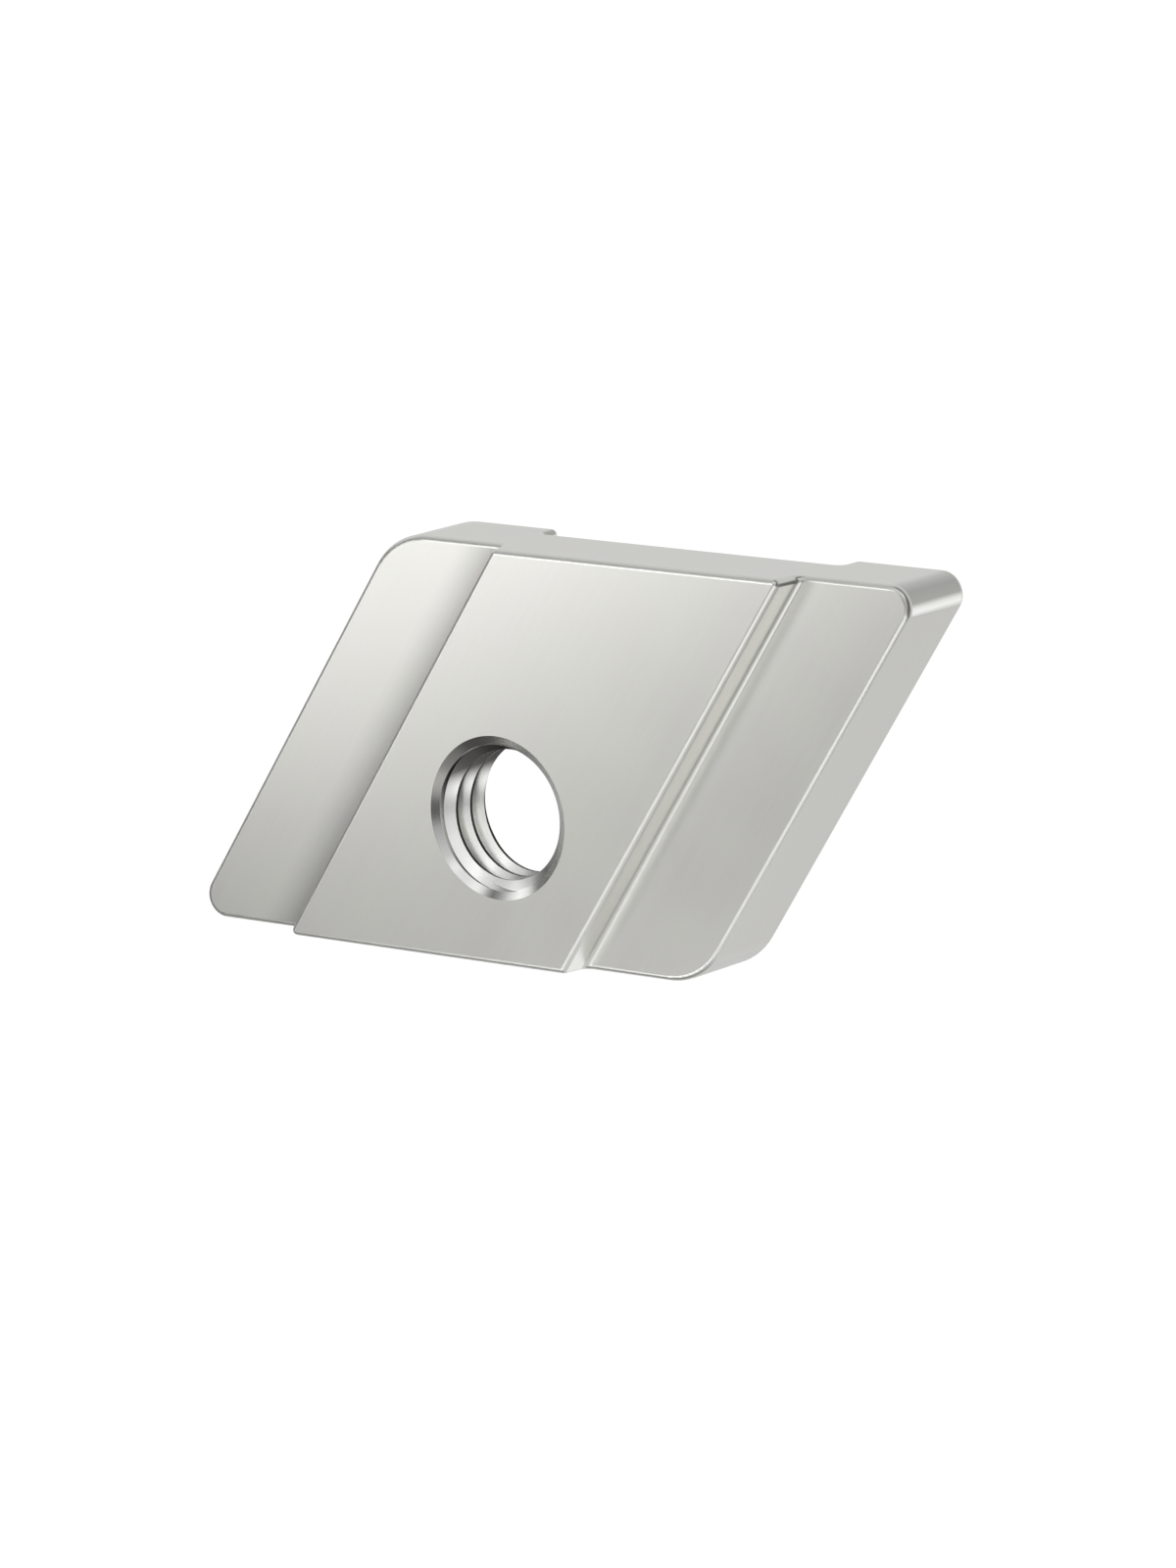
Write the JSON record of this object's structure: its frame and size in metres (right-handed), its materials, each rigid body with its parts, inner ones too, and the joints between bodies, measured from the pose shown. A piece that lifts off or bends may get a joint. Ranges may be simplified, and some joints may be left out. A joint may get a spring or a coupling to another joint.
{
  "type": "rail nut",
  "caption": "Rhomboid steel rail nut with a raised land that guides it in the rail's slot, a recess along its back and a tapped through hole.",
  "frame": {"origin": "on the thread's axis, in the plane of the two clamping faces beside the land", "axes": "+Z along the thread, out of the front; +X along the rail and the land; +Y across the rail"},
  "size_m": [0.0435, 0.0288, 0.0067],
  "materials": {
    "steel": "satin"
  },
  "bodies": {
    "root": {"rail_nut": "steel"}
  },
  "joints": []
}
